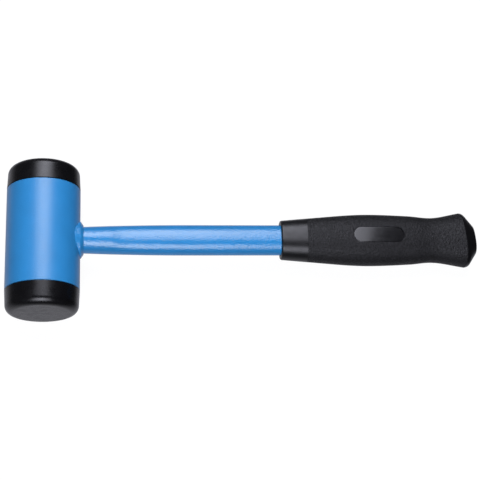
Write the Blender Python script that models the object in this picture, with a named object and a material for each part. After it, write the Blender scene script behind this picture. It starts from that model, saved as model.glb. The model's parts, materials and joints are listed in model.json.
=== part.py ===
"""Dead blow hammer with a shot-filled head, replaceable nylon faces and a tubular handle.

The hammer lies on its side. +X runs along the handle from the head to the grip, Y runs along the
head from face to face, and +Z is up. The origin is under the middle of the hammer's footprint.
Pieces are placed from the head centre, where the axis of the head crosses the axis of the handle.
"""

from math import asin, atan2, cos, hypot, pi, radians, sin, sqrt, tan

import bmesh
import bpy

MM = 0.001

# Clearances
FIT_GAP = 0.3 * MM  # between pieces that touch or fit together
SHOT_CLEARANCE = 0.5 * MM  # between the shot and the wall of its chamber

# Head
HEAD_DIAMETER = 60 * MM
BARREL_LENGTH = 86 * MM
BARREL_WALL = 3.5 * MM
BARREL_EDGE = 0.5 * MM  # chamfer round each mouth
BULKHEAD_THICKNESS = 6 * MM

# Faces, and what screws them to the bulkheads
FACE_PROJECTION = 19 * MM  # from the barrel's mouth to the striking face
FACE_RIM_RADIUS = 6.8 * MM
FACE_DRAFT = radians(2)
FACE_SPIGOT_LENGTH = 6 * MM
WASHER_THICKNESS = 1.5 * MM
WASHER_MARGIN = 7 * MM  # from its rim to the barrel's bore
STUD_DIAMETER = 16 * MM
STUD_CHAMFER = 1 * MM
STUD_TIP_SETBACK = 0.5 * MM  # from the chamber's end wall to the stud's tip
STUD_FLANGE_WIDTH = 5 * MM  # beyond the shank, all round
STUD_FLANGE_THICKNESS = 5 * MM
FACE_COVER = 11.5 * MM  # nylon between the flange and the striking face

# Shot
SHOT_LAYERS = 3
BALLS_ROUND = 6  # as many equal balls as fit round one

# Handle
HANDLE_REACH = 359 * MM  # from the head's axis to the end of the butt
NECK_DIAMETER = 21.8 * MM
OVAL_WIDTH = 25.5 * MM
OVAL_THICKNESS = 19 * MM
TUBE_FLATNESS = 2.4  # of the pressed section's top: 2 is an ellipse
TUBE_WALL = 2 * MM
NECK_LENGTH = 20 * MM  # from the collar to where the tube is pressed
FLATTEN_LENGTH = 15 * MM  # over which its top and bottom are pressed flat
SPREAD_LENGTH = 85 * MM  # from the collar, over which it spreads to its full width
NECK_PLUG_LENGTH = 5 * MM

# Collar
COLLAR_WIDTH = 4.4 * MM  # beyond the tube on each side
COLLAR_RISE = 3.1 * MM  # beyond the tube above and below, where the chamfer starts
COLLAR_DRAFT = radians(18)  # slope above and below, from the chamfer to the barrel
COLLAR_STAND = 0.4 * MM  # from the barrel to the start of the chamfer, at the sides
COLLAR_CHAMFER = 2.2 * MM
COLLAR_RIM = 0.7 * MM  # thickness left at the collar's end

# Grip, with lengths in order from its front and rises measured over the core's sleeve
GRIP_BAND_LENGTH = 21.6 * MM  # smooth front band
GRIP_SWELL_LENGTH = 52.2 * MM  # on to the widest place
GRIP_SHOULDER_LENGTH = 34.6 * MM
GRIP_WAIST_LENGTH = 18 * MM
GRIP_FLARE_LENGTH = 27 * MM
GRIP_BUTT_LENGTH = 11.4 * MM
FRONT_RISE = 1.9 * MM
BAND_RISE = 3.8 * MM
SWELL_RISE = 7.3 * MM
SHOULDER_RISE = 6.1 * MM
WAIST_RISE = 4.5 * MM
FLARE_RISE = 8.7 * MM
TOP_RISE_RATIO = 0.6  # rise on the flat sides over that on the edges
GRIP_FLATNESS = 2.7  # of the section's top: 2 is an ellipse
GRIP_LIP = 1 * MM  # rounding of the front edge
FLARE_EDGE = 0.3 * MM  # chamfer of the cover at the butt
CORE_WALL = 1.2 * MM
BUTT_FACE_WIDTH = 25 * MM
BUTT_FACE_THICKNESS = 18 * MM
BUTT_SLANT = radians(4)
BUTT_SIDE_ROUND = 5 * MM  # radius between the flare and the butt's bevel, at the sides
BUTT_TOP_ROUND = 2 * MM  # the same, over the top and the bottom
END_CAP_STEM = 9 * MM
END_PLUG_STEM = 10 * MM
END_PLUG_FLANGE = 2 * MM

# Badge inlay
BADGE_LENGTH = 42 * MM
BADGE_WIDTH = 13.2 * MM
BADGE_THICKNESS = 1.2 * MM
BADGE_RECESS = 0.2 * MM  # below the lowest place on the pocket's rim
BADGE_OFFSET = 7 * MM  # from the grip's widest place towards the butt

# Smoothness
HEAD_SEGMENTS = 64
STUD_SEGMENTS = 32
TUBE_SEGMENTS = 36
GRIP_SEGMENTS = 40
BADGE_END_STEPS = 10
ARC_STEPS = 5
SPREAD_STEPS = 17
COVER_STEPS = 18
BAND_STEPS = 4
BALL_SUBDIVISIONS = 2
SMOOTH_ANGLE = radians(35)
WELD_DISTANCE = 1e-7

# Finishes as linear colour, roughness and metallic value
BLUE_PAINT = ((0.035, 0.25, 0.62), 0.35, 0.0)
BLACK_NYLON = ((0.012, 0.012, 0.014), 0.4, 0.0)
HARD_BLACK = ((0.02, 0.02, 0.022), 0.35, 0.0)
SOFT_BLACK = ((0.022, 0.022, 0.024), 0.7, 0.0)
BARE_STEEL = ((0.55, 0.55, 0.56), 0.3, 1.0)
BLACK_RUBBER = ((0.015, 0.015, 0.015), 0.8, 0.0)

# Turns that lay a piece's own Z axis along the hammer
TO_FRONT = (pi / 2, 0, 0)  # towards -Y
TO_REAR = (-pi / 2, 0, 0)  # towards +Y
ALONG_X = (0, pi / 2, 0)

# Sizes that follow from the ones above
HEAD_RADIUS = HEAD_DIAMETER / 2
BORE_RADIUS = HEAD_RADIUS - BARREL_WALL
MOUTH = BARREL_LENGTH / 2
STRIKING_FACE = MOUTH + FACE_PROJECTION
SPIGOT_END = MOUTH - FACE_SPIGOT_LENGTH
WASHER_OUTER = SPIGOT_END - FIT_GAP
WASHER_INNER = WASHER_OUTER - WASHER_THICKNESS
BULKHEAD_OUTER = WASHER_INNER - FIT_GAP
CHAMBER_END = BULKHEAD_OUTER - BULKHEAD_THICKNESS
STUD_RADIUS = STUD_DIAMETER / 2
STUD_HOLE_RADIUS = STUD_RADIUS + FIT_GAP
FLANGE_RADIUS = STUD_RADIUS + STUD_FLANGE_WIDTH
FLANGE_OUTER = STRIKING_FACE - FACE_COVER
FLANGE_INNER = FLANGE_OUTER - STUD_FLANGE_THICKNESS
NECK_RADIUS = NECK_DIAMETER / 2
COLLAR_SHOULDER = HEAD_RADIUS + COLLAR_STAND
COLLAR_END = COLLAR_SHOULDER + COLLAR_CHAMFER
TUBE_ROOT = BORE_RADIUS + FIT_GAP
FLATTEN_START = COLLAR_END + NECK_LENGTH
CORE_RADIAL = FIT_GAP + CORE_WALL
COVER_RADIAL = CORE_RADIAL + FIT_GAP
FLARE_X = HANDLE_REACH - GRIP_BUTT_LENGTH
WAIST_X = FLARE_X - GRIP_FLARE_LENGTH
SHOULDER_X = WAIST_X - GRIP_WAIST_LENGTH
SWELL_X = SHOULDER_X - GRIP_SHOULDER_LENGTH
BAND_X = SWELL_X - GRIP_SWELL_LENGTH
FRONT_X = BAND_X - GRIP_BAND_LENGTH
CAP_SEAT_X = FLARE_X + FIT_GAP
END_PLUG_OUTER = CAP_SEAT_X - END_CAP_STEM - FIT_GAP
TUBE_END = END_PLUG_OUTER - END_PLUG_FLANGE - FIT_GAP
BADGE_X = SWELL_X + BADGE_OFFSET


def clear_scene():
    """Remove every object that the file starts with."""
    for obj in list(bpy.data.objects):
        bpy.data.objects.remove(obj, do_unlink=True)


def finish(name, colour, roughness, metallic):
    """A plain Principled BSDF material."""
    material = bpy.data.materials.new(name)
    material.use_nodes = True
    shader = material.node_tree.nodes["Principled BSDF"]
    shader.inputs["Base Color"].default_value = (*colour, 1)
    shader.inputs["Roughness"].default_value = roughness
    shader.inputs["Metallic"].default_value = metallic
    material.diffuse_color = (*colour, 1)
    return material


def add_empty(name, parent=None, location=(0, 0, 0)):
    """An empty that carries other objects."""
    empty = bpy.data.objects.new(name, None)
    empty.location = location
    empty.parent = parent
    bpy.context.collection.objects.link(empty)
    return empty


def add_piece(name, mesh, parent, look, location=(0, 0, 0), rotation=(0, 0, 0)):
    """A named object with its own material, shaded smooth except at its sharp edges."""
    mesh.name = name
    mesh.shade_smooth()
    mesh.set_sharp_from_angle(angle=SMOOTH_ANGLE)
    mesh.materials.append(finish(name, *look))
    piece = bpy.data.objects.new(name, mesh)
    piece.location = location
    piece.rotation_euler = rotation
    piece.parent = parent
    bpy.context.collection.objects.link(piece)
    return piece


def add_cutter(name, mesh, parent, location=(0, 0, 0), rotation=(0, 0, 0)):
    """A guide object for a Boolean, which is no part of the hammer."""
    cutter = bpy.data.objects.new(name, mesh)
    cutter.location = location
    cutter.rotation_euler = rotation
    cutter.parent = parent
    cutter.hide_render = True
    cutter.display_type = "WIRE"
    bpy.context.collection.objects.link(cutter)
    return cutter


def cut(piece, cutter):
    """Take the cutter's shape out of the piece."""
    modifier = piece.modifiers.new(cutter.name, "BOOLEAN")
    modifier.operation = "DIFFERENCE"
    modifier.solver = "EXACT"
    modifier.object = cutter


def mesh_of(bm):
    """Turn a finished bmesh into a mesh whose faces point outwards."""
    bmesh.ops.recalc_face_normals(bm, faces=bm.faces)
    mesh = bpy.data.meshes.new("shape")
    bm.to_mesh(mesh)
    bm.free()
    return mesh


def turned(profile, segments, ring=False):
    """Spin (radius, height) points about Z. A ring's profile is a closed outline."""
    bm = bmesh.new()
    points = [bm.verts.new((radius, 0, height)) for radius, height in profile]
    edges = [bm.edges.new(pair) for pair in zip(points, points[1:])]
    if ring:
        edges.append(bm.edges.new((points[-1], points[0])))
    bmesh.ops.spin(
        bm,
        geom=points + edges,
        cent=(0, 0, 0),
        axis=(0, 0, 1),
        angle=2 * pi,
        steps=segments,
        use_merge=True,
    )
    bmesh.ops.remove_doubles(bm, verts=bm.verts, dist=WELD_DISTANCE)
    return mesh_of(bm)


def cylinder(radius, bottom, top, segments):
    """A solid cylinder about Z."""
    return turned([(0, top), (radius, top), (radius, bottom), (0, bottom)], segments)


def lofted(rings, hollow=False):
    """Skin a row of rings of points. A hollow shape's last ring joins its first."""
    bm = bmesh.new()
    loops = [[bm.verts.new(point) for point in ring] for ring in rings]
    pairs = list(zip(loops, loops[1:]))
    if hollow:
        pairs.append((loops[-1], loops[0]))
    else:
        bm.faces.new(loops[0])
        bm.faces.new(loops[-1])
    for first, second in pairs:
        for i in range(len(first)):
            bm.faces.new((first[i - 1], first[i], second[i], second[i - 1]))
    return mesh_of(bm)


def signed_power(value, exponent):
    """A power that keeps the sign of its base."""
    return abs(value) ** exponent * (1 if value >= 0 else -1)


def oval_ring(x, half_width, half_thickness, segments, flatness=2.0, slant=0.0):
    """Points round the handle's axis at x, flat-topped above 2. A slant leans the ring away from square."""
    ring = []
    for i in range(segments):
        angle = 2 * pi * i / segments
        y = half_width * signed_power(cos(angle), 2 / flatness)
        ring.append((x - y * tan(slant), y, half_thickness * sin(angle)))
    return ring


def arc(centre, radius, start, end):
    """Points of an arc in the plane of a turned profile."""
    steps = [start + (end - start) * i / ARC_STEPS for i in range(ARC_STEPS + 1)]
    return [(centre[0] + radius * cos(angle), centre[1] + radius * sin(angle)) for angle in steps]


def spaced(start, end, steps):
    """Evenly spaced values, with both ends."""
    return [start + (end - start) * i / steps for i in range(steps + 1)]


def smooth_curve(stations):
    """A smooth function through (x, value) stations that never overshoots them."""
    xs = [x for x, _ in stations]
    values = [value for _, value in stations]
    slopes = [(values[i + 1] - values[i]) / (xs[i + 1] - xs[i]) for i in range(len(xs) - 1)]
    tangents = [slopes[0]]
    for before, after in zip(slopes, slopes[1:]):
        tangents.append(2 * before * after / (before + after) if before * after > 0 else 0.0)
    tangents.append(slopes[-1])

    def value_at(x):
        i = max(0, min(len(slopes) - 1, sum(x >= station for station in xs) - 1))
        span = xs[i + 1] - xs[i]
        t = (x - xs[i]) / span
        rise = values[i + 1] - values[i]
        blend = t * t * (3 - 2 * t)
        lead_in = span * tangents[i] * t * (1 - t) ** 2
        lead_out = span * tangents[i + 1] * t * t * (t - 1)
        return values[i] + rise * blend + lead_in + lead_out

    return value_at


grip_rise = smooth_curve(
    [
        (FRONT_X, FRONT_RISE),
        (BAND_X, BAND_RISE),
        (SWELL_X, SWELL_RISE),
        (SHOULDER_X, SHOULDER_RISE),
        (WAIST_X, WAIST_RISE),
        (FLARE_X, FLARE_RISE),
    ]
)


def grip_halves(x):
    """Half width and half thickness of the grip at x."""
    rise = grip_rise(x)
    half_width = OVAL_WIDTH / 2 + COVER_RADIAL + rise
    half_thickness = OVAL_THICKNESS / 2 + COVER_RADIAL + rise * TOP_RISE_RATIO
    return half_width, half_thickness


def grip_ring(x, section_x=None, inset=0.0, slant=0.0):
    """The grip's section at section_x, drawn at x and taken in by inset."""
    half_width, half_thickness = grip_halves(x if section_x is None else section_x)
    return oval_ring(x, half_width - inset, half_thickness - inset, GRIP_SEGMENTS, GRIP_FLATNESS, slant)


def share(x, start, length):
    """How much of a stretch lies before x, from 0 to 1."""
    return max(0.0, min(1.0, (x - start) / length))


def tube_ring(x, grow=0.0, segments=TUBE_SEGMENTS, slant=0.0):
    """The tube's section at x, grown outwards, or inwards where grow is negative."""
    spread = 1 - (1 - share(x, COLLAR_END, SPREAD_LENGTH)) ** 2
    pressed = share(x, FLATTEN_START, FLATTEN_LENGTH)
    flat = pressed * pressed * (3 - 2 * pressed)
    half_width = NECK_RADIUS + (OVAL_WIDTH / 2 - NECK_RADIUS) * spread + grow
    half_thickness = NECK_RADIUS + (OVAL_THICKNESS / 2 - NECK_RADIUS) * flat + grow
    flatness = 2 + (TUBE_FLATNESS - 2) * flat
    return oval_ring(x, half_width, half_thickness, segments, flatness, slant)


def add_barrel(frame, side_hole):
    """The steel tube of the head, with the hole that the handle enters."""
    profile = [
        (BORE_RADIUS, MOUTH),
        (HEAD_RADIUS - BARREL_EDGE, MOUTH),
        (HEAD_RADIUS, MOUTH - BARREL_EDGE),
        (HEAD_RADIUS, BARREL_EDGE - MOUTH),
        (HEAD_RADIUS - BARREL_EDGE, -MOUTH),
        (BORE_RADIUS, -MOUTH),
    ]
    mesh = turned(profile, HEAD_SEGMENTS, ring=True)
    barrel = add_piece("head_barrel", mesh, frame, BLUE_PAINT, rotation=TO_FRONT)
    cut(barrel, side_hole)


def add_bulkhead(end, frame, rotation):
    """A disc that closes the shot chamber, with the hole for the face's stud."""
    rim = BORE_RADIUS - FIT_GAP
    profile = [
        (STUD_HOLE_RADIUS, BULKHEAD_OUTER),
        (rim, BULKHEAD_OUTER),
        (rim, CHAMBER_END),
        (STUD_HOLE_RADIUS, CHAMBER_END),
    ]
    mesh = turned(profile, HEAD_SEGMENTS, ring=True)
    add_piece(f"{end}_bulkhead", mesh, frame, BARE_STEEL, rotation=rotation)


def add_washer(end, frame, rotation):
    """The washer between a face and its bulkhead."""
    rim = BORE_RADIUS - WASHER_MARGIN
    profile = [
        (STUD_HOLE_RADIUS, WASHER_OUTER),
        (rim, WASHER_OUTER),
        (rim, WASHER_INNER),
        (STUD_HOLE_RADIUS, WASHER_INNER),
    ]
    mesh = turned(profile, STUD_SEGMENTS, ring=True)
    add_piece(f"{end}_face_washer", mesh, frame, BLACK_RUBBER, rotation=rotation)


def add_stud(end, frame, rotation):
    """The threaded stud of a face, with the flange that the nylon is moulded round."""
    tip = CHAMBER_END + STUD_TIP_SETBACK
    profile = [
        (0, FLANGE_OUTER),
        (FLANGE_RADIUS, FLANGE_OUTER),
        (FLANGE_RADIUS, FLANGE_INNER),
        (STUD_RADIUS, FLANGE_INNER),
        (STUD_RADIUS, tip + STUD_CHAMFER),
        (STUD_RADIUS - STUD_CHAMFER, tip),
        (0, tip),
    ]
    mesh = turned(profile, STUD_SEGMENTS)
    add_piece(f"{end}_face_stud", mesh, frame, BARE_STEEL, rotation=rotation)


def add_face(end, frame, rotation):
    """A nylon face: a drafted cap with a rounded rim, and a spigot that enters the barrel."""
    seat = MOUTH + FIT_GAP
    rim_height = STRIKING_FACE - FACE_RIM_RADIUS
    draft_in = (rim_height - seat) * tan(FACE_DRAFT)
    rim_centre = (HEAD_RADIUS - draft_in - FACE_RIM_RADIUS / cos(FACE_DRAFT), rim_height)
    profile = [
        (0, STRIKING_FACE),
        *arc(rim_centre, FACE_RIM_RADIUS, pi / 2, FACE_DRAFT),
        (HEAD_RADIUS, seat),
        (BORE_RADIUS - FIT_GAP, seat),
        (BORE_RADIUS - FIT_GAP, SPIGOT_END),
        (STUD_HOLE_RADIUS, SPIGOT_END),
        (STUD_HOLE_RADIUS, FLANGE_INNER - FIT_GAP),
        (FLANGE_RADIUS + FIT_GAP, FLANGE_INNER - FIT_GAP),
        (FLANGE_RADIUS + FIT_GAP, FLANGE_OUTER + FIT_GAP),
        (0, FLANGE_OUTER + FIT_GAP),
    ]
    mesh = turned(profile, HEAD_SEGMENTS)
    add_piece(f"{end}_face", mesh, frame, BLACK_NYLON, rotation=rotation)


def add_shot(frame):
    """Steel balls in nested layers: rings round the axis, every other one with a ball in its middle."""
    carrier = add_empty("shot_charge", frame)
    step_angle = 2 * pi / BALLS_ROUND
    sideways = 2 * sin(step_angle / 4)
    layer_rise = sqrt(1 - sideways**2)
    # A layer is three balls across, and the charge fits in the bore and in the chamber's length.
    across = (2 * (BORE_RADIUS - SHOT_CLEARANCE) + FIT_GAP) / 3
    along = (2 * (CHAMBER_END - SHOT_CLEARANCE) + FIT_GAP) / (1 + (SHOT_LAYERS - 1) * layer_rise)
    pitch = min(across, along)
    ball_radius = (pitch - FIT_GAP) / 2
    bm = bmesh.new()
    bmesh.ops.create_icosphere(bm, subdivisions=BALL_SUBDIVISIONS, radius=ball_radius)
    ball = mesh_of(bm)
    count = 0
    for layer in range(SHOT_LAYERS):
        y = (layer - (SHOT_LAYERS - 1) / 2) * layer_rise * pitch
        turns = [step_angle * (i + layer % 2 / 2) for i in range(BALLS_ROUND)]
        spots = [(pitch * cos(turn), y, pitch * sin(turn)) for turn in turns]
        if layer % 2 == 0:
            spots.append((0, y, 0))
        for spot in spots:
            count += 1
            add_piece(f"shot_ball_{count:02d}", ball.copy(), carrier, BARE_STEEL, location=spot)
    bpy.data.meshes.remove(ball)


def add_collar(frame, barrel_form):
    """The boss round the root of the handle: drafted above and below, chamfered, set on the barrel."""
    bore = NECK_RADIUS + FIT_GAP
    rim = bore + COLLAR_RIM
    half_width = NECK_RADIUS + COLLAR_WIDTH
    half_height = NECK_RADIUS + COLLAR_RISE
    root_height = half_height + COLLAR_SHOULDER * tan(COLLAR_DRAFT)
    rings = [
        oval_ring(0, half_width, root_height, HEAD_SEGMENTS),
        oval_ring(COLLAR_SHOULDER, half_width, half_height, HEAD_SEGMENTS),
        oval_ring(COLLAR_END, rim, rim, HEAD_SEGMENTS),
        oval_ring(COLLAR_END, bore, bore, HEAD_SEGMENTS),
        oval_ring(0, bore, bore, HEAD_SEGMENTS),
    ]
    collar = add_piece("neck_collar", lofted(rings, hollow=True), frame, BLUE_PAINT)
    cut(collar, barrel_form)


def add_neck_plug(frame):
    """The plug that closes the tube towards the shot chamber."""
    radius = NECK_RADIUS - TUBE_WALL - FIT_GAP
    mesh = cylinder(radius, TUBE_ROOT, TUBE_ROOT + NECK_PLUG_LENGTH, STUD_SEGMENTS)
    add_piece("neck_plug", mesh, frame, BARE_STEEL, rotation=ALONG_X)


def add_handle_tube(frame):
    """The hollow tube from the head to the butt, pressed from round to oval."""
    spreading = spaced(COLLAR_END, COLLAR_END + SPREAD_LENGTH, SPREAD_STEPS)
    stations = [TUBE_ROOT, *spreading, TUBE_END]
    outside = [tube_ring(x) for x in stations]
    inside = [tube_ring(x, -TUBE_WALL) for x in reversed(stations)]
    add_piece("handle_tube", lofted(outside + inside, hollow=True), frame, BLUE_PAINT)


def add_handle_end_plug(frame):
    """The flanged plug in the open end of the tube."""
    stem = -TUBE_WALL - FIT_GAP
    flange_start = TUBE_END + FIT_GAP
    rings = [
        tube_ring(TUBE_END - END_PLUG_STEM, stem),
        tube_ring(flange_start, stem),
        tube_ring(flange_start),
        tube_ring(END_PLUG_OUTER),
    ]
    add_piece("handle_end_plug", lofted(rings), frame, HARD_BLACK)


def butt_joint(grow):
    """The slanted end of a sleeve that meets the end cap, grown from the tube's section."""
    return tube_ring(FLARE_X, grow, GRIP_SEGMENTS, BUTT_SLANT)


def add_grip_core(frame):
    """The hard sleeve on the tube, whose front end is the smooth band of the grip."""
    rings = [grip_ring(FRONT_X, inset=GRIP_LIP)]
    rings += [grip_ring(x) for x in spaced(FRONT_X + GRIP_LIP, BAND_X, BAND_STEPS)]
    rings.append(tube_ring(BAND_X, CORE_RADIAL, GRIP_SEGMENTS))
    rings.append(butt_joint(CORE_RADIAL))
    rings.append(butt_joint(FIT_GAP))
    rings.append(tube_ring(FRONT_X, FIT_GAP, GRIP_SEGMENTS))
    add_piece("grip_core", lofted(rings, hollow=True), frame, HARD_BLACK)


def add_grip_cover(frame, badge_pocket):
    """The soft cover round the core, with the pocket for the badge."""
    start = BAND_X + FIT_GAP
    flare_start = FLARE_X - 2 * FLARE_EDGE
    rings = []
    for x in spaced(start, flare_start, COVER_STEPS):
        lean = max(0.0, (x - WAIST_X) / (FLARE_X - WAIST_X)) * BUTT_SLANT
        rings.append(grip_ring(x, slant=lean))
    rings.append(grip_ring(FLARE_X, inset=FLARE_EDGE, slant=BUTT_SLANT))
    rings.append(butt_joint(COVER_RADIAL))
    rings.append(tube_ring(start, COVER_RADIAL, GRIP_SEGMENTS))
    cover = add_piece("grip_cover", lofted(rings, hollow=True), frame, SOFT_BLACK)
    cut(cover, badge_pocket)


def bevel_line(start_half, end_half, radius, length):
    """(distance, half size) points along the butt: a rounding, then a bevel that leaves it straight on."""
    depth = start_half - end_half - radius
    bevel_angle = atan2(depth, length) + asin(radius / hypot(length, depth))
    line = []
    for angle in spaced(0, bevel_angle, ARC_STEPS):
        line.append((radius * sin(angle), start_half - radius * (1 - cos(angle))))
    return [*line, (length, end_half)]


def half_along(line, distance):
    """The half size at a distance along a bevel line."""
    for (start, start_half), (end, end_half) in zip(line, line[1:]):
        if distance <= end:
            return start_half + (end_half - start_half) * (distance - start) / (end - start)
    return line[-1][1]


def add_grip_end_cap(frame):
    """The rounded and bevelled butt of the grip, with a stem that plugs into the core."""
    flare_width, flare_thickness = grip_halves(FLARE_X)
    length = HANDLE_REACH - BUTT_FACE_WIDTH / 2 * tan(BUTT_SLANT) - CAP_SEAT_X
    widths = bevel_line(flare_width, BUTT_FACE_WIDTH / 2, BUTT_SIDE_ROUND, length)
    thicknesses = bevel_line(flare_thickness, BUTT_FACE_THICKNESS / 2, BUTT_TOP_ROUND, length)
    rings = [
        tube_ring(CAP_SEAT_X - END_CAP_STEM, 0, GRIP_SEGMENTS),
        tube_ring(CAP_SEAT_X, 0, GRIP_SEGMENTS, BUTT_SLANT),
    ]
    for distance in sorted({distance for distance, _ in widths + thicknesses}):
        half_width = half_along(widths, distance)
        half_thickness = half_along(thicknesses, distance)
        x = CAP_SEAT_X + distance
        rings.append(oval_ring(x, half_width, half_thickness, GRIP_SEGMENTS, GRIP_FLATNESS, BUTT_SLANT))
    add_piece("grip_end_cap", lofted(rings), frame, HARD_BLACK)


def badge_outline(grow):
    """A straight-sided oval, seen from above."""
    radius = BADGE_WIDTH / 2
    half_straight = BADGE_LENGTH / 2 - radius
    outline = []
    for centre, start in ((half_straight, -pi / 2), (-half_straight, pi / 2)):
        for i in range(BADGE_END_STEPS + 1):
            angle = start + pi * i / BADGE_END_STEPS
            outline.append((centre + (radius + grow) * cos(angle), (radius + grow) * sin(angle)))
    return outline


def badge_slab(bottom, top, grow=0.0):
    """An upright slab of the badge's outline."""
    rings = [[(x, y, z) for x, y in badge_outline(grow)] for z in (bottom, top)]
    return lofted(rings)


def badge_top():
    """Height of the inlay over the handle's axis: just under the lowest place on its rim."""
    heights = []
    for x in (BADGE_X - BADGE_LENGTH / 2, BADGE_X + BADGE_LENGTH / 2):
        half_width, half_thickness = grip_halves(x)
        fall = (BADGE_WIDTH / 2 / half_width) ** GRIP_FLATNESS
        heights.append(half_thickness * sqrt(1 - fall))
    return min(heights) - BADGE_RECESS


def add_badge(frame):
    """The blank oval inlay on the upper flat of the grip."""
    mesh = badge_slab(badge_top() - BADGE_THICKNESS, badge_top())
    add_piece("grip_badge", mesh, frame, HARD_BLACK, location=(BADGE_X, 0, 0))


def main():
    """Build every piece round the head centre."""
    clear_scene()
    middle_to_head = (HANDLE_REACH - HEAD_RADIUS) / 2
    frame = add_empty("head_centre", location=(-middle_to_head, 0, HEAD_RADIUS))

    hole = cylinder(NECK_RADIUS + FIT_GAP, 0, 2 * HEAD_RADIUS, HEAD_SEGMENTS)
    side_hole = add_cutter("side_hole", hole, frame, rotation=ALONG_X)
    form = cylinder(HEAD_RADIUS + FIT_GAP, -MOUTH, MOUTH, HEAD_SEGMENTS)
    barrel_form = add_cutter("barrel_form", form, frame, rotation=TO_FRONT)
    pocket_floor = badge_top() - BADGE_THICKNESS - FIT_GAP
    pocket = badge_slab(pocket_floor, pocket_floor + OVAL_THICKNESS, FIT_GAP)
    badge_pocket = add_cutter("badge_pocket", pocket, frame, location=(BADGE_X, 0, 0))

    add_barrel(frame, side_hole)
    for end, rotation in (("front", TO_FRONT), ("rear", TO_REAR)):
        add_bulkhead(end, frame, rotation)
        add_washer(end, frame, rotation)
        add_stud(end, frame, rotation)
        add_face(end, frame, rotation)
    add_shot(frame)
    add_collar(frame, barrel_form)
    add_neck_plug(frame)
    add_handle_tube(frame)
    add_handle_end_plug(frame)
    add_grip_core(frame)
    add_grip_cover(frame, badge_pocket)
    add_grip_end_cap(frame)
    add_badge(frame)


main()
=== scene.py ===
"""Looks of the dead blow hammer: fine shapes, finishes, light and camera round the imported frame.

Everything is in metres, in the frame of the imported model. Pieces are drawn from the head centre,
where the axis of the head, along Y, crosses the axis of the handle, along X.
"""

import json
from math import asin, atan, atan2, cos, hypot, pi, radians, sin, sqrt, tan

import bmesh
import bpy
from mathutils import Euler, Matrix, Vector


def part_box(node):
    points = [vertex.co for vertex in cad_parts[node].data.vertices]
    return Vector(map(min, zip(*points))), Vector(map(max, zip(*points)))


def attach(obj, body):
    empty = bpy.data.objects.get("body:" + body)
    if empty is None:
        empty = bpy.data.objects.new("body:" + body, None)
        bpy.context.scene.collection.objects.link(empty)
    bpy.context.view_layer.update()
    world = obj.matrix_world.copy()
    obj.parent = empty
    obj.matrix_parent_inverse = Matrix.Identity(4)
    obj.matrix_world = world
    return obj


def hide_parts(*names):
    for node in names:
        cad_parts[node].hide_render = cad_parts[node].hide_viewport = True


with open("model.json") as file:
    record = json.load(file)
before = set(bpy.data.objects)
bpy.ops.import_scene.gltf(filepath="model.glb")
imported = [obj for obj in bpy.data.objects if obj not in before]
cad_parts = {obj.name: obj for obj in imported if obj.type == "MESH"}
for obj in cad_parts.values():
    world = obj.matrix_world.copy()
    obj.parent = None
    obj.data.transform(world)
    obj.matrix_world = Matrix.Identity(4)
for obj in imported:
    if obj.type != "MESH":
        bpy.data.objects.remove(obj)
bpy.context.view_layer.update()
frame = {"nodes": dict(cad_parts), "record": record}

MM = 0.001

# Sizes taken from the frame
barrel_low, barrel_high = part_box("head_barrel")
face_low, face_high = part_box("rear_face")
_, collar_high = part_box("neck_collar")
tube_low, tube_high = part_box("handle_tube")
core_low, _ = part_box("grip_core")
cover_low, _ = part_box("grip_cover")
butt_low, butt_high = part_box("grip_end_cap")
badge_low, badge_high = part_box("grip_badge")
HEAD = (barrel_low + barrel_high) / 2
HEAD_RADIUS = (barrel_high.z - barrel_low.z) / 2
MOUTH = barrel_high.y
SPIGOT_END = face_low.y
STRIKING_FACE = face_high.y
COLLAR_HALF_WIDTH = collar_high.y
COLLAR_END = collar_high.x - HEAD.x
NECK_RADIUS = tube_high.z - HEAD.z
OVAL_HALF_WIDTH = tube_high.y
TUBE_ROOT = tube_low.x - HEAD.x
TUBE_END = tube_high.x - HEAD.x
GRIP_FRONT = core_low.x - HEAD.x
COVER_START = cover_low.x - HEAD.x
BUTT_SEAT = butt_low.x - HEAD.x
REACH = butt_high.x - HEAD.x
BADGE_X = (badge_low.x + badge_high.x) / 2 - HEAD.x
BADGE_HALF_LENGTH = (badge_high.x - badge_low.x) / 2
BADGE_RADIUS = badge_high.y
BADGE_FLOOR = badge_low.z - HEAD.z

# Head
BARREL_WALL = 3.5 * MM
BARREL_RIM_ROUND = 0.7 * MM
BARREL_ROWS = 30
SEAT_GAP = 0.3 * MM  # between barrel and face
FACE_RIM_RADIUS = 6.3 * MM
FACE_DRAFT = radians(2.8)
FACE_SEAT_ROUND = 0.4 * MM
SPIGOT_CLEARANCE = 0.3 * MM
SPIGOT_ROUND = 0.8 * MM
STUD_BORE = 8.3 * MM
STUD_POCKET_RADIUS = 13.3 * MM
STUD_POCKET = (45.2 * MM, 50.8 * MM)  # room for the flange of the stud inside the face

# Collar
COLLAR_HALF_HEIGHT = 14 * MM  # where the chamfer starts
COLLAR_DRAFT = radians(18)
COLLAR_STAND = 0.4 * MM
COLLAR_RIM_RADIUS = 11.9 * MM
COLLAR_EDGE_ROUND = 0.15 * MM
COLLAR_SOCKET = 3 * MM  # that its inner end lies behind its outer one
PAINT_FILLET = 0.3 * MM  # where the coat runs into a corner
FILLET_SINK = 0.05 * MM
FOOT_ROUNDS = 12  # to settle where the collar meets the barrel

# Handle
OVAL_HALF_THICKNESS = 9.5 * MM
TUBE_WALL = 2 * MM
FLATTEN_START = COLLAR_END + 20 * MM
FLATTEN_LENGTH = 15 * MM
SPREAD_LENGTH = 85 * MM
TUBE_FLATNESS = 2.4  # of the pressed section's top: 2 is an ellipse
TUBE_STEP = 2 * MM

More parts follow.
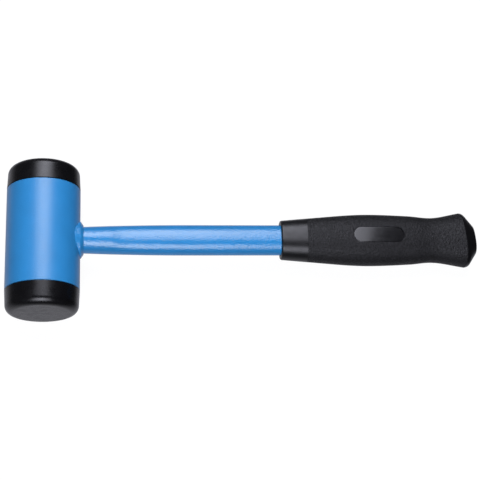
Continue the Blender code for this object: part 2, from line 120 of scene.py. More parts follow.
# Grip, with rises measured over the sleeve under the cover
SLEEVE = 1.8 * MM
CORE_SLEEVE = 1.5 * MM
FIT_GAP = 0.3 * MM  # round the tube, and between band and cover
BAND_END = COVER_START - FIT_GAP
FLARE = REACH - 11.4 * MM
WAIST = FLARE - 27 * MM
SHOULDER = WAIST - 18 * MM
SWELL = SHOULDER - 34.6 * MM
GRIP_RISES = (
    (GRIP_FRONT, 1.9 * MM),
    (BAND_END, 3.8 * MM),
    (SWELL, 7.3 * MM),
    (SHOULDER, 6.1 * MM),
    (WAIST, 4.5 * MM),
    (FLARE, 8.7 * MM),
)
TOP_RISE_RATIO = 0.6
GRIP_FLATNESS = 2.7
LIP_ROUND = 1.2 * MM
BAND_EDGE_ROUND = 0.08 * MM
COVER_STEP = 1.5 * MM
BUTT_GAP = 0.03 * MM
BUTT_SLANT = radians(4)
BUTT_SIDE_ROUND = 5 * MM  # between the flare and the bevel, at the sides
BUTT_TOP_ROUND = 2 * MM  # the same, over the top and the bottom
BUTT_HALF_WIDTH = 12.5 * MM
BUTT_HALF_THICKNESS = 9 * MM
BUTT_RIM_ROUND = 0.4 * MM
DISTANCE_DIGITS = 7  # kept of a distance, so that equal ones share a ring

# Badge inlay
BADGE_RECESS = 0.5 * MM
BADGE_TILT = radians(0.5)  # deeper towards the butt
BADGE_FLATNESS = 0.6  # share of the grip's crown across the inlay
BADGE_EDGE = 0.15 * MM
BADGE_FIT = 0.15 * MM
BADGE_END_HALF_WIDTH = 0.2 * MM
BADGE_ROWS = 64
BADGE_COLUMNS = 24

# Finishes
PAINT_COLOUR = (0.0174, 0.166, 0.377)
PAINT_SHINE_TINT = (1, 0.97, 0.8)
TUBE_PAINT = {"roughness": 0.2, "peel": 0.2 * MM}
BARREL_PAINT = {"roughness": 0.36, "peel": 0.05 * MM}
FINE_PEEL = 0.85  # height of the finer relief, as a share of the coarser one
TOOL_MARKS = (400, 2500, 400)  # on bare steel, per metre along each axis
NOISE_LOW = 0.3  # the values of a noise mostly lie between this
NOISE_HIGH = 0.7  # and this

# Smoothness
TURNED_SEGMENTS = 160
LOFT_SEGMENTS = 128
ROUND_STEPS = 8
ARC_LEAD = 0.04  # distance of the point outside an arc's end, as a share of its radius
END_STEPS = 24  # round each end of the badge
SHARP_ANGLE = radians(40)
WELD_DISTANCE = 1e-7

# Camera, as fitted to the outline in the photograph, turned by degrees
CAMERA_PLACE = (-0.11425, -0.3473, 0.99572)
CAMERA_TURN = (19.899, -5.8, -2.053)
CAMERA_LENS = 93.75
CAMERA_SENSOR = 36

# Light: each soft box is a stack of panels that differ along the handle, so that it fades out that way.
# It leans and turns by degrees, and its breadth lies across the handle.
FAR_BOX = {"lean": 33.6, "along": 0.08, "breadth": 0.91, "turn": -8, "radiance": 9.4}
NEAR_BOX = {"lean": -44.2, "along": 0.0, "breadth": 0.72, "turn": -5, "radiance": 9.8}
PANEL_LENGTHS = (0.35, 0.7, 0.97)
PANEL_STEP = 0.005
BOX_DISTANCE = 1.1
BOX_COLOUR = (0.88, 0.89, 1.0)
ROOM_LIGHT = 0.1
ROOM_LIGHT_FALL = 0.06  # how much dimmer the room is towards the butt's end
FLOOR_LIGHT = 0.62
FLOOR_LIGHT_COLOUR = (1, 1, 1.1)
FLOOR_GLOW_START = -0.15  # height of a direction, from -1 to 1, where the floor starts to shine
FLOOR_GLOW_FULL = -0.65  # and where it shines in full
FLOOR_LIGHT_FALL = 0.35  # how much lower the glow stays towards the butt's end

# Stage
FLOOR_COLOUR = 0.06
FLOOR_GLOW = 0.95
STAGE_RADIUS = 12
DOME_SUBDIVISIONS = 4
STAGE_MOTTLE = 0.2  # size of its faint patches


def mesh_of(bm, name):
    """Turn a finished bmesh into a mesh placed at the head, with its faces pointing outwards."""
    bmesh.ops.recalc_face_normals(bm, faces=bm.faces)
    bmesh.ops.translate(bm, verts=bm.verts, vec=HEAD)
    mesh = bpy.data.meshes.new(name)
    bm.to_mesh(mesh)
    bm.free()
    return mesh


def add_piece(name, mesh, material, body, *nodes):
    """A piece that rides on a body and stands for its CAD nodes, smooth except at sharp edges."""
    mesh.shade_smooth()
    mesh.set_sharp_from_angle(angle=SHARP_ANGLE)
    mesh.materials.append(material)
    piece = bpy.data.objects.new(name, mesh)
    bpy.context.scene.collection.objects.link(piece)
    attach(piece, body)
    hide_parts(*nodes)


def spaced(start, end, steps):
    """Evenly spaced values, with both ends."""
    return [start + (end - start) * i / steps for i in range(steps + 1)]


def rounded(corners):
    """An open outline through (u, v, radius) corners, with an arc wherever the radius isn't zero.

    A point just outside each end of an arc keeps the shading of the straight runs true.
    """
    points = []
    for i, (u, v, radius) in enumerate(corners):
        corner = Vector((u, v))
        if radius == 0:
            points.append(corner)
            continue
        before = (Vector(corners[i - 1][:2]) - corner).normalized()
        after = (Vector(corners[i + 1][:2]) - corner).normalized()
        half = before.angle(after) / 2
        centre = corner + (before + after).normalized() * radius / sin(half)
        start = corner + before * radius / tan(half) - centre
        end = corner + after * radius / tan(half) - centre
        points.append(centre + start + before * radius * ARC_LEAD)
        for t in spaced(0, 1, ROUND_STEPS):
            points.append(centre + start.slerp(end, t) * radius)
        points.append(centre + end + after * radius * ARC_LEAD)
    return [tuple(point) for point in points]


def turned(name, profile, towards, ring=False):
    """Spin (radius, distance) points about the head's axis. A ring's profile is a closed outline."""
    bm = bmesh.new()
    points = [bm.verts.new((radius, towards * distance, 0)) for radius, distance in profile]
    edges = [bm.edges.new(pair) for pair in zip(points, points[1:])]
    if ring:
        edges.append(bm.edges.new((points[-1], points[0])))
    bmesh.ops.spin(
        bm,
        geom=points + edges,
        cent=(0, 0, 0),
        axis=(0, 1, 0),
        angle=2 * pi,
        steps=TURNED_SEGMENTS,
        use_merge=True,
    )
    bmesh.ops.remove_doubles(bm, verts=bm.verts, dist=WELD_DISTANCE)
    return mesh_of(bm, name)


def lofted(name, rings, hollow=False):
    """Skin a row of rings of points. A hollow shape's last ring joins its first."""
    bm = bmesh.new()
    loops = [[bm.verts.new(point) for point in ring] for ring in rings]
    pairs = list(zip(loops, loops[1:]))
    if hollow:
        pairs.append((loops[-1], loops[0]))
    else:
        bm.faces.new(loops[0])
        bm.faces.new(loops[-1])
    for first, second in pairs:
        for i in range(len(first)):
            bm.faces.new((first[i - 1], first[i], second[i], second[i - 1]))
    return mesh_of(bm, name)


def cut(mesh, cutter_mesh):
    """The mesh with the cutter's shape taken out of it."""
    target = bpy.data.objects.new("target", mesh)
    cutter = bpy.data.objects.new("cutter", cutter_mesh)
    for obj in (target, cutter):
        bpy.context.scene.collection.objects.link(obj)
    modifier = target.modifiers.new("cut", "BOOLEAN")
    modifier.operation = "DIFFERENCE"
    modifier.solver = "EXACT"
    modifier.object = cutter
    depsgraph = bpy.context.evaluated_depsgraph_get()
    result = bpy.data.meshes.new_from_object(target.evaluated_get(depsgraph))
    for obj in (target, cutter):
        bpy.data.objects.remove(obj)
    return result


def signed_power(value, exponent):
    """A power that keeps the sign of its base."""
    return abs(value) ** exponent * (1 if value >= 0 else -1)


def oval_ring(x, half_width, half_thickness, flatness=2.0, slant=0.0):
    """Points round the handle's axis at x. A flatness of 2 is an ellipse. A slant leans the ring."""
    ring = []
    for i in range(LOFT_SEGMENTS):
        angle = 2 * pi * i / LOFT_SEGMENTS
        y = half_width * signed_power(cos(angle), 2 / flatness)
        ring.append((x - y * tan(slant), y, half_thickness * sin(angle)))
    return ring


def smooth_curve(stations):
    """A smooth function through (x, value) stations that never overshoots them."""
    xs = [x for x, _ in stations]
    values = [value for _, value in stations]
    slopes = [(values[i + 1] - values[i]) / (xs[i + 1] - xs[i]) for i in range(len(xs) - 1)]
    tangents = [slopes[0]]
    for before, after in zip(slopes, slopes[1:]):
        tangents.append(2 * before * after / (before + after) if before * after > 0 else 0.0)
    tangents.append(slopes[-1])

    def value_at(x):
        """The curve's value at x, from the two stations beside it."""
        i = max(0, min(len(slopes) - 1, sum(x >= station for station in xs) - 1))
        span = xs[i + 1] - xs[i]
        t = (x - xs[i]) / span
        rise = values[i + 1] - values[i]
        blend = t * t * (3 - 2 * t)
        lead_in = span * tangents[i] * t * (1 - t) ** 2
        lead_out = span * tangents[i + 1] * t * t * (t - 1)
        return values[i] + rise * blend + lead_in + lead_out

    return value_at


grip_rise = smooth_curve(GRIP_RISES)


def grip_halves(x):
    """Half width and half thickness of the grip at x."""
    rise = grip_rise(x)
    half_width = OVAL_HALF_WIDTH + SLEEVE + rise
    half_thickness = OVAL_HALF_THICKNESS + SLEEVE + rise * TOP_RISE_RATIO
    return half_width, half_thickness


def grip_ring(x, inset=0.0, slant=0.0):
    """The grip's section at x, taken in by inset."""
    half_width, half_thickness = grip_halves(x)
    return oval_ring(x, half_width - inset, half_thickness - inset, GRIP_FLATNESS, slant)


def share(x, start, length):
    """How much of a stretch lies before x, from 0 to 1."""
    return max(0.0, min(1.0, (x - start) / length))


def tube_ring(x, grow=0.0, slant=0.0):
    """The tube's section at x, grown outwards, or inwards where grow is negative."""
    spread = 1 - (1 - share(x, COLLAR_END, SPREAD_LENGTH)) ** 2
    pressed = share(x, FLATTEN_START, FLATTEN_LENGTH)
    flat = pressed * pressed * (3 - 2 * pressed)
    half_width = NECK_RADIUS + (OVAL_HALF_WIDTH - NECK_RADIUS) * spread
    half_thickness = NECK_RADIUS + (OVAL_HALF_THICKNESS - NECK_RADIUS) * flat
    flatness = 2 + (TUBE_FLATNESS - 2) * flat
    return oval_ring(x, half_width + grow, half_thickness + grow, flatness, slant)


def crown(x, y):
    """Height of the grip's upper side over the handle's axis."""
    half_width, half_thickness = grip_halves(x)
    fall = (abs(y) / half_width) ** GRIP_FLATNESS
    return half_thickness * sqrt(1 - fall)


def add_barrel(material):
    """The painted tube of the head, with soft rims and the hole that the handle enters."""
    bore = HEAD_RADIUS - BARREL_WALL
    inner_round = BARREL_RIM_ROUND / 2
    far_run = rounded(
        [
            (bore, 0, 0),
            (bore, MOUTH, inner_round),
            (HEAD_RADIUS, MOUTH, BARREL_RIM_ROUND),
            (HEAD_RADIUS, 0, 0),
        ]
    )
    far_rim = far_run[1:-1]
    near_rim = [(radius, -distance) for radius, distance in reversed(far_rim)]
    edge = MOUTH - BARREL_RIM_ROUND
    wall = [(HEAD_RADIUS, distance) for distance in spaced(edge, -edge, BARREL_ROWS)[1:-1]]
    mesh = turned("barrel", far_rim + wall + near_rim, 1, ring=True)
    hole_radius = NECK_RADIUS + FIT_GAP
    hole = [oval_ring(x, hole_radius, hole_radius) for x in (0, 2 * HEAD_RADIUS)]
    add_piece("painted_barrel", cut(mesh, lofted("hole", hole)), material, "hammer", "head_barrel")


def add_face(end, towards, material):
    """A moulded face: a drafted cap with a rounded rim, and a spigot that enters the barrel."""
    seat = MOUTH + SEAT_GAP
    taper = (STRIKING_FACE - seat) * tan(FACE_DRAFT)
    spigot = HEAD_RADIUS - BARREL_WALL - SPIGOT_CLEARANCE
    pocket_start, pocket_end = STUD_POCKET
    profile = rounded(
        [
            (0, STRIKING_FACE, 0),
            (HEAD_RADIUS - taper, STRIKING_FACE, FACE_RIM_RADIUS),
            (HEAD_RADIUS, seat, FACE_SEAT_ROUND),
            (spigot, seat, 0),
            (spigot, SPIGOT_END, SPIGOT_ROUND),
            (STUD_BORE, SPIGOT_END, 0),
            (STUD_BORE, pocket_start, 0),
            (STUD_POCKET_RADIUS, pocket_start, 0),
            (STUD_POCKET_RADIUS, pocket_end, 0),
            (0, pocket_end, 0),
        ]
    )
    mesh = turned(f"{end}_cap", profile, towards)
    add_piece(f"{end}_cap", mesh, material, f"{end}_face", f"{end}_face")


def add_collar(material):
    """The boss at the root of the handle: drafted, chamfered, its coat run into the corners."""
    shoulder = HEAD_RADIUS + COLLAR_STAND

    def radius_at(x, angle):
        """Half size of the drafted boss at x."""
        half_height = COLLAR_HALF_HEIGHT + (shoulder - x) * tan(COLLAR_DRAFT)
        return 1 / hypot(cos(angle) / COLLAR_HALF_WIDTH, sin(angle) / half_height)

    def barrel_at(radius, angle):
        """Where the barrel's surface lies under a point of the boss."""
        return sqrt(HEAD_RADIUS**2 - (radius * sin(angle)) ** 2)

    def profile_at(angle):
        """The boss from its foot on the barrel to the tube, cut at an angle."""
        foot = HEAD_RADIUS
        for _ in range(FOOT_ROUNDS):
            foot = barrel_at(radius_at(foot, angle), angle)
        radius = radius_at(foot, angle)
        skirt = radius + 2 * PAINT_FILLET
        return rounded(
            [
                (skirt, barrel_at(skirt, angle) - FILLET_SINK, 0),
                (radius, foot, PAINT_FILLET),
                (radius_at(shoulder, angle), shoulder, COLLAR_EDGE_ROUND),
                (COLLAR_RIM_RADIUS, COLLAR_END, COLLAR_EDGE_ROUND),
                (NECK_RADIUS, COLLAR_END, PAINT_FILLET),
                (NECK_RADIUS - FILLET_SINK, COLLAR_END + 2 * PAINT_FILLET, 0),
            ]
        )

    lines = []
    for i in range(LOFT_SEGMENTS):
        angle = 2 * pi * i / LOFT_SEGMENTS
        lines.append([(x, radius * cos(angle), radius * sin(angle)) for radius, x in profile_at(angle)])
    rings = [list(ring) for ring in zip(*lines)]
    rings.append([(x - COLLAR_SOCKET, y, z) for x, y, z in rings[-1]])
    mesh = lofted("collar", rings, hollow=True)
    add_piece("painted_collar", mesh, material, "hammer", "neck_collar")


def add_tube(material):
    """The painted tube, round at the neck and pressed oval towards the grip."""
    steps = round((GRIP_FRONT - TUBE_ROOT) / TUBE_STEP)
    stations = [*spaced(TUBE_ROOT, GRIP_FRONT, steps), TUBE_END]
    outside = [tube_ring(x) for x in stations]
    inside = [tube_ring(x, -TUBE_WALL) for x in reversed(stations)]
    mesh = lofted("tube", outside + inside, hollow=True)
    add_piece("painted_tube", mesh, material, "hammer", "handle_tube")


def add_grip_band(material):
    """The hard core of the grip, whose front end is the smooth band with a rounded lip."""
    rings = []
    for angle in spaced(0, pi / 2, ROUND_STEPS):
        x = GRIP_FRONT + LIP_ROUND * (1 - sin(angle))
        rings.insert(0, grip_ring(x, inset=LIP_ROUND * (1 - cos(angle))))
    steps = round((BAND_END - GRIP_FRONT) / COVER_STEP)
    stations = spaced(GRIP_FRONT + LIP_ROUND, BAND_END - BAND_EDGE_ROUND, steps)
    rings += [grip_ring(x) for x in stations[1:]]
    rings.append(grip_ring(BAND_END, inset=BAND_EDGE_ROUND))
    rings.append(tube_ring(BAND_END, CORE_SLEEVE))
    rings.append(tube_ring(FLARE, CORE_SLEEVE, BUTT_SLANT))
    rings.append(tube_ring(FLARE, FIT_GAP, BUTT_SLANT))
    rings.append(tube_ring(GRIP_FRONT, FIT_GAP))
    add_piece("grip_band", lofted("band", rings, hollow=True), material, "hammer", "grip_core")


def grip_lean(x):
    """How far the grip's sections lean, growing from the waist to the butt."""
    return max(0.0, (x - WAIST) / (FLARE - WAIST)) * BUTT_SLANT


def badge_outline(grow):
    """A straight-sided oval, seen from above."""
    half_straight = BADGE_HALF_LENGTH - BADGE_RADIUS
    radius = BADGE_RADIUS + grow
    outline = []
    for centre, start in ((half_straight, -pi / 2), (-half_straight, pi / 2)):
        for angle in spaced(start, start + pi, END_STEPS):
            outline.append((centre + radius * cos(angle), radius * sin(angle)))
    return outline


def add_grip_cover(material):
    """The soft cover round the core, with the pocket for the badge."""
    start = BAND_END + BUTT_GAP
    steps = round((FLARE - start) / COVER_STEP)
    rings = [grip_ring(start, inset=BAND_EDGE_ROUND)]
    rings += [grip_ring(x, slant=grip_lean(x)) for x in spaced(start + BAND_EDGE_ROUND, FLARE, steps)]
    rings.append(tube_ring(FLARE, SLEEVE, BUTT_SLANT))
    rings.append(tube_ring(start, SLEEVE))
    outline = badge_outline(BADGE_FIT)
    above_grip = 2 * BADGE_FLOOR
    pocket = [[(BADGE_X + x, y, z) for x, y in outline] for z in (BADGE_FLOOR, above_grip)]
    mesh = cut(lofted("cover", rings, hollow=True), lofted("pocket", pocket))
    add_piece("grip_sleeve", mesh, material, "hammer", "grip_cover")


def bevel_line(start_half, end_half, radius, length):
    """(distance, half size) points along the butt: a rounding, a bevel and a soft rim."""
    depth = start_half - end_half - radius
    bevel_angle = atan2(depth, length) + asin(radius / hypot(length, depth))
    corners = [
        (0, start_half, 0),
        (radius * tan(bevel_angle / 2), start_half, radius),
        (length, end_half, BUTT_RIM_ROUND),
        (length, 0, 0),
    ]
    without_runs = rounded(corners)[2:-2]
    return [(round(distance, DISTANCE_DIGITS), half) for distance, half in without_runs]


def half_along(line, distance):
    """The half size at a distance along a bevel line."""
    for (start, start_half), (end, end_half) in zip(line, line[1:]):
        if distance <= end:
            return start_half + (end_half - start_half) * (distance - start) / (end - start)
    return line[-1][1]


def add_butt(material):
    """The smooth butt, which stands on the end of the cover."""
    seat = FLARE + BUTT_GAP
    length = REACH - BUTT_HALF_WIDTH * tan(BUTT_SLANT) - seat
    flare_width, flare_thickness = grip_halves(FLARE)
    widths = bevel_line(flare_width, BUTT_HALF_WIDTH, BUTT_SIDE_ROUND, length)
    thicknesses = bevel_line(flare_thickness, BUTT_HALF_THICKNESS, BUTT_TOP_ROUND, length)
    rings = [tube_ring(BUTT_SEAT, 0), tube_ring(seat, 0, BUTT_SLANT)]
    for distance in sorted({distance for distance, _ in widths + thicknesses}):
        half_width = half_along(widths, distance)
        half_thickness = half_along(thicknesses, distance)
        rings.append(oval_ring(seat + distance, half_width, half_thickness, GRIP_FLATNESS, BUTT_SLANT))
    add_piece("grip_butt", lofted("butt", rings), material, "hammer", "grip_end_cap")


def badge_half_width(along):
    """Half width of the inlay at a distance along it from its middle."""
    past = max(0.0, abs(along) - (BADGE_HALF_LENGTH - BADGE_RADIUS))
    return sqrt(max(0.0, BADGE_RADIUS**2 - past**2))


def badge_section(along):
    """Points round the inlay's section: its flat bottom, then its crowned top with soft edges."""
    x = BADGE_X + along
    half_width = max(badge_half_width(along), BADGE_END_HALF_WIDTH)
    to_end = BADGE_HALF_LENGTH - abs(along)
    top = []
    for i in range(BADGE_COLUMNS + 1):
        y = -half_width * cos(pi * i / BADGE_COLUMNS)
        to_edge = min(half_width - abs(y), to_end)
        drop = BADGE_RECESS + along * tan(BADGE_TILT) + max(0.0, BADGE_EDGE - to_edge)
        top.append((x, y, crown(x, y * BADGE_FLATNESS) - drop))
    return [(x, half_width, BADGE_FLOOR), (x, -half_width, BADGE_FLOOR), *top]


def add_badge(material):
    """The blank inlay, crowned like the grip and set a little below it."""
    stations = [-BADGE_HALF_LENGTH * cos(pi * i / BADGE_ROWS) for i in range(BADGE_ROWS + 1)]
    mesh = lofted("badge", [badge_section(along) for along in stations])
    add_piece("blank_badge", mesh, material, "hammer", "grip_badge")


class Look:
    """A procedural material: one Principled shader with textures in the piece's own coordinates."""

    def __init__(self, name, colour, roughness, metallic=0.0, specular=0.5):
        self.material = bpy.data.materials.new(name)
        self.material.use_nodes = True
        self.nodes = self.material.node_tree.nodes
        self.links = self.material.node_tree.links
        self.shader = self.nodes["Principled BSDF"]
        self.shader.inputs["Base Color"].default_value = (*colour, 1)
        self.shader.inputs["Roughness"].default_value = roughness
        self.shader.inputs["Metallic"].default_value = metallic
        self.shader.inputs["Specular IOR Level"].default_value = specular
        self.colour = colour
        self.roughness = roughness
        self.place = self.nodes.new("ShaderNodeTexCoord").outputs["Object"]
        self.normal = None

    def stretched(self, scale):
        """Coordinates scaled unlike along the axes, for streaks."""
        mapping = self.nodes.new("ShaderNodeMapping")
        mapping.inputs["Scale"].default_value = scale
        self.links.new(self.place, mapping.inputs["Vector"])
        return mapping.outputs["Vector"]

    def noise(self, size, detail=2.0, place=None):
        """Soft noise whose lumps are about that size."""
        texture = self.nodes.new("ShaderNodeTexNoise")
        texture.inputs["Scale"].default_value = 1 / size
        texture.inputs["Detail"].default_value = detail
        self.links.new(place or self.place, texture.inputs["Vector"])
        return texture.outputs["Fac"]

    def pebbles(self, size):
        """Rounded cells of about that size."""
        texture = self.nodes.new("ShaderNodeTexVoronoi")
        texture.feature = "SMOOTH_F1"
        texture.inputs["Scale"].default_value = 1 / size
        self.links.new(self.place, texture.inputs["Vector"])
        return texture.outputs["Distance"]

    def ranged(self, value, low, high):
        """A noise's usual values, spread from low to high."""
        node = self.nodes.new("ShaderNodeMapRange")
        node.inputs["From Min"].default_value = NOISE_LOW
        node.inputs["From Max"].default_value = NOISE_HIGH
        node.inputs["To Min"].default_value = low
        node.inputs["To Max"].default_value = high
        self.links.new(value, node.inputs["Value"])
        return node.outputs["Result"]

    def vary_roughness(self, value, spread):
        """Roughness that wanders by spread about its mean."""
        result = self.ranged(value, self.roughness - spread, self.roughness + spread)
        self.links.new(result, self.shader.inputs["Roughness"])

    def vary_colour(self, value, darker, lighter):
        """Colour that wanders between two shares of the mean colour."""
        mix = self.nodes.new("ShaderNodeMix")
        mix.data_type = "RGBA"
        self.links.new(self.ranged(value, 0, 1), mix.inputs["Factor"])
        for socket, tone in (("A", darker), ("B", lighter)):
            colour_socket = next(s for s in mix.inputs if s.name == socket and s.type == "RGBA")
            colour_socket.default_value = (*(tone * c for c in self.colour), 1)
        colour_out = next(s for s in mix.outputs if s.type == "RGBA")
        self.links.new(colour_out, self.shader.inputs["Base Color"])

    def raise_by(self, value, height):
        """Relief of that height on top of any relief before it."""
        bump = self.nodes.new("ShaderNodeBump")
        bump.inputs["Strength"].default_value = 1
        bump.inputs["Distance"].default_value = height
        self.links.new(value, bump.inputs["Height"])
        if self.normal:
            self.links.new(self.normal, bump.inputs["Normal"])
        self.normal = bump.outputs["Normal"]
        self.links.new(self.normal, self.shader.inputs["Normal"])


def blue_paint(name, roughness, peel):
    """Semi-gloss powder coat: an orange peel of that height, and a tone that wanders a little."""
    look = Look(name, PAINT_COLOUR, roughness)
    look.shader.inputs["Specular Tint"].default_value = (*PAINT_SHINE_TINT, 1)
    look.vary_colour(look.noise(14 * MM, detail=3), darker=0.96, lighter=1.04)
    look.vary_roughness(look.noise(5 * MM, detail=3), spread=0.04)
    look.raise_by(look.noise(1.7 * MM, detail=2), height=peel)
    look.raise_by(look.noise(1.1 * MM, detail=1), height=peel * FINE_PEEL)
    return look.material


def black_nylon():
    """Satin moulded nylon with faint flow marks."""
    look = Look("black_nylon", colour=(0.002, 0.002, 0.0024), roughness=0.28, specular=0.3)
    look.vary_colour(look.noise(9 * MM, detail=4), darker=0.85, lighter=1.15)
    look.vary_roughness(look.noise(6 * MM, detail=5), spread=0.05)
    look.raise_by(look.noise(2.5 * MM, detail=3), height=0.006 * MM)
    look.raise_by(look.noise(0.5 * MM, detail=1), height=0.003 * MM)
    return look.material


def hard_plastic():
    """Smooth satin plastic of the grip's band and butt."""
    look = Look("hard_black_plastic", colour=(0.002, 0.002, 0.0024), roughness=0.36, specular=0.32)
    look.vary_colour(look.noise(8 * MM, detail=4), darker=0.85, lighter=1.15)
    look.vary_roughness(look.noise(4 * MM, detail=4), spread=0.04)
    look.raise_by(look.noise(1.8 * MM, detail=2), height=0.005 * MM)
    return look.material


def soft_rubber():
    """Soft cover with a fine grain and lighter and darker specks."""
    look = Look("soft_black_rubber", colour=(0.004, 0.004, 0.0045), roughness=0.56, specular=0.23)
    look.vary_colour(look.noise(1.4 * MM, detail=2), darker=0.1, lighter=2.2)
    look.vary_roughness(look.noise(2 * MM, detail=4), spread=0.08)
    look.raise_by(look.noise(2.2 * MM, detail=4), height=0.16 * MM)
    look.raise_by(look.pebbles(1.3 * MM), height=0.48 * MM)
    look.raise_by(look.noise(0.5 * MM, detail=2), height=0.04 * MM)
    return look.material


def badge_gloss():
    """Smoother inlay of the grip."""
    look = Look("badge_gloss", colour=(0.003, 0.003, 0.0035), roughness=0.15, specular=0.58)
    look.vary_colour(look.noise(6 * MM, detail=3), darker=0.9, lighter=1.1)
    look.vary_roughness(look.noise(3 * MM, detail=4), spread=0.03)
    look.raise_by(look.noise(1.2 * MM, detail=2), height=0.002 * MM)
    return look.material


def washer_rubber():
    """Plain matt rubber."""
    look = Look("washer_rubber", colour=(0.012, 0.012, 0.012), roughness=0.8)
    look.vary_colour(look.noise(3 * MM, detail=4), darker=0.8, lighter=1.2)
    look.vary_roughness(look.noise(2 * MM, detail=3), spread=0.08)
    look.raise_by(look.noise(0.6 * MM, detail=2), height=0.02 * MM)
    return look.material


def bare_steel():
    """Machined steel with fine tool marks."""
    look = Look("bare_steel", colour=(0.56, 0.56, 0.58), roughness=0.3, metallic=1.0)
    streaks = look.noise(1, detail=3, place=look.stretched(TOOL_MARKS))
    look.vary_colour(look.noise(4 * MM, detail=4), darker=0.85, lighter=1.1)
    look.vary_roughness(streaks, spread=0.08)
    look.raise_by(streaks, height=0.004 * MM)
    return look.material


def add_softbox(name, lean, along, breadth, turn, radiance):
    """A soft box that faces the hammer from above a place along it, and leans towards +Y."""
    lean_angle = radians(lean)
    facing = Euler((-lean_angle, 0, 0)).to_matrix() @ Euler((0, 0, radians(turn))).to_matrix()
    for i, length in enumerate(PANEL_LENGTHS):
        lamp = bpy.data.lights.new(name, "AREA")
        lamp.shape = "RECTANGLE"
        lamp.size = length
        lamp.size_y = breadth
        lamp.color = BOX_COLOUR
        lamp.energy = radiance * pi * length * breadth / len(PANEL_LENGTHS)
        panel = bpy.data.objects.new(name, lamp)
        distance = BOX_DISTANCE + PANEL_STEP * i
        panel.location = HEAD + Vector((along, distance * sin(lean_angle), distance * cos(lean_angle)))
        panel.rotation_euler = facing.to_euler()
        panel.visible_camera = False
        bpy.context.scene.collection.objects.link(panel)


def math_node(tree, operation, *values):
    """The result of a maths node that is fed with sockets or plain numbers."""
    node = tree.nodes.new("ShaderNodeMath")
    node.operation = operation
    for socket, value in zip(node.inputs, values):
        if isinstance(value, bpy.types.NodeSocket):
            tree.links.new(value, socket)
        else:
            socket.default_value = value
    return node.outputs["Value"]


def add_surroundings():
    """Dim room light, with the glow of the floor from below, both weaker towards the butt's end."""
    world = bpy.data.worlds.new("studio")
    bpy.context.scene.world = world
    world.use_nodes = True
    tree = world.node_tree
    nodes = tree.nodes
    links = tree.links
    direction = nodes.new("ShaderNodeTexCoord").outputs["Generated"]
    parts = nodes.new("ShaderNodeSeparateXYZ")
    links.new(direction, parts.inputs["Vector"])
    butt_side = math_node(tree, "MAXIMUM", parts.outputs["X"], 0)
    height = math_node(tree, "MULTIPLY_ADD", butt_side, FLOOR_LIGHT_FALL, parts.outputs["Z"])
    room = math_node(tree, "MULTIPLY_ADD", butt_side, -ROOM_LIGHT_FALL, ROOM_LIGHT)
    depth = nodes.new("ShaderNodeMapRange")
    depth.interpolation_type = "SMOOTHSTEP"
    depth.inputs["From Min"].default_value = FLOOR_GLOW_START
    depth.inputs["From Max"].default_value = FLOOR_GLOW_FULL
    links.new(room, depth.inputs["To Min"])
    depth.inputs["To Max"].default_value = FLOOR_LIGHT
    links.new(height, depth.inputs["Value"])
    nodes["Background"].inputs["Color"].default_value = (*FLOOR_LIGHT_COLOUR, 1)
    links.new(depth.outputs["Result"], nodes["Background"].inputs["Strength"])


def stage_material(name, colour, glow):
    """A pale matt surface that also glows, as a table lit from below does."""
    look = Look(name, colour=(colour,) * 3, roughness=0.9, specular=0.0)
    look.vary_colour(look.noise(STAGE_MOTTLE, detail=3), darker=0.98, lighter=1.02)
    look.shader.inputs["Emission Color"].default_value = (1, 1, 1, 1)
    look.shader.inputs["Emission Strength"].default_value = glow
    return look.material


def add_backdrop(name, bm, material, place=(0, 0, 0), turn=(0, 0, 0)):
    """A part of the stage that the camera sees and that lights nothing."""
    mesh = bpy.data.meshes.new(name)
    bm.to_mesh(mesh)
    bm.free()
    mesh.materials.append(material)
    backdrop = bpy.data.objects.new(name, mesh)
    backdrop.location = place
    backdrop.rotation_euler = turn
    bpy.context.scene.collection.objects.link(backdrop)
    backdrop.visible_diffuse = False
    backdrop.visible_glossy = False
    backdrop.visible_shadow = False


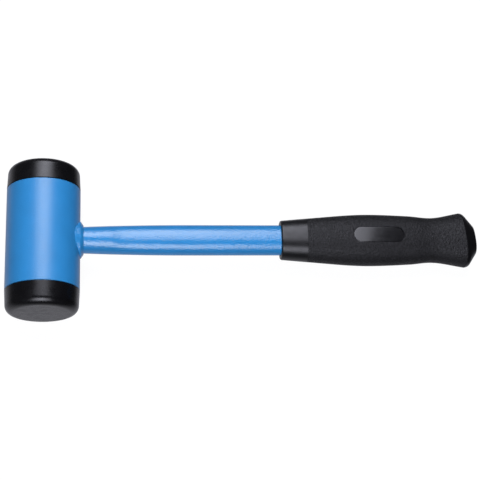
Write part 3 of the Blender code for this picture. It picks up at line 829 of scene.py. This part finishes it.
def add_stage():
    """A pale floor that touches the barrel and the grip, and a pale dome round it."""
    run = FLARE
    drop = HEAD_RADIUS - grip_halves(FLARE)[1]
    tilt = atan(drop / run)
    under_head = (HEAD.x, 0, HEAD.z - HEAD_RADIUS / cos(tilt))
    floor = bmesh.new()
    bmesh.ops.create_circle(floor, cap_ends=True, segments=TURNED_SEGMENTS, radius=STAGE_RADIUS)
    floor_white = stage_material("floor_white", FLOOR_COLOUR, FLOOR_GLOW)
    add_backdrop("studio_floor", floor, floor_white, under_head, (0, -tilt, 0))
    dome = bmesh.new()
    bmesh.ops.create_icosphere(dome, subdivisions=DOME_SUBDIVISIONS, radius=STAGE_RADIUS)
    add_backdrop("studio_dome", dome, stage_material("dome_white", 0.0, FLOOR_GLOW))


def add_camera():
    """The photograph's camera."""
    camera = bpy.data.objects.new("camera", bpy.data.cameras.new("camera"))
    camera.data.lens = CAMERA_LENS
    camera.data.sensor_width = CAMERA_SENSOR
    camera.location = CAMERA_PLACE
    camera.rotation_euler = [radians(turn) for turn in CAMERA_TURN]
    bpy.context.scene.collection.objects.link(camera)
    bpy.context.scene.camera = camera


def dress_hidden_nodes(looks):
    """Give every CAD node that still shows the finish of its material slot."""
    for part in frame["record"]["subparts"]:
        mesh = frame["nodes"][part["node"]].data
        mesh.materials.clear()
        mesh.materials.append(looks[part["material_slot"]])


def main():
    """Dress the hammer and set up the picture."""
    looks = {
        "blue_paint": blue_paint("blue_paint", **TUBE_PAINT),
        "black_nylon": black_nylon(),
        "hard_black_plastic": hard_plastic(),
        "soft_black_rubber": soft_rubber(),
        "badge_gloss": badge_gloss(),
        "washer_rubber": washer_rubber(),
        "bare_steel": bare_steel(),
    }
    dress_hidden_nodes(looks)
    add_barrel(blue_paint("barrel_paint", **BARREL_PAINT))
    add_collar(looks["blue_paint"])
    add_face("front", -1, looks["black_nylon"])
    add_face("rear", 1, looks["black_nylon"])
    add_tube(looks["blue_paint"])
    add_grip_band(looks["hard_black_plastic"])
    add_grip_cover(looks["soft_black_rubber"])
    add_butt(looks["hard_black_plastic"])
    add_badge(looks["badge_gloss"])
    add_camera()
    add_softbox("far_box", **FAR_BOX)
    add_softbox("near_box", **NEAR_BOX)
    add_surroundings()
    add_stage()
    bpy.context.scene.view_settings.view_transform = "Standard"


main()
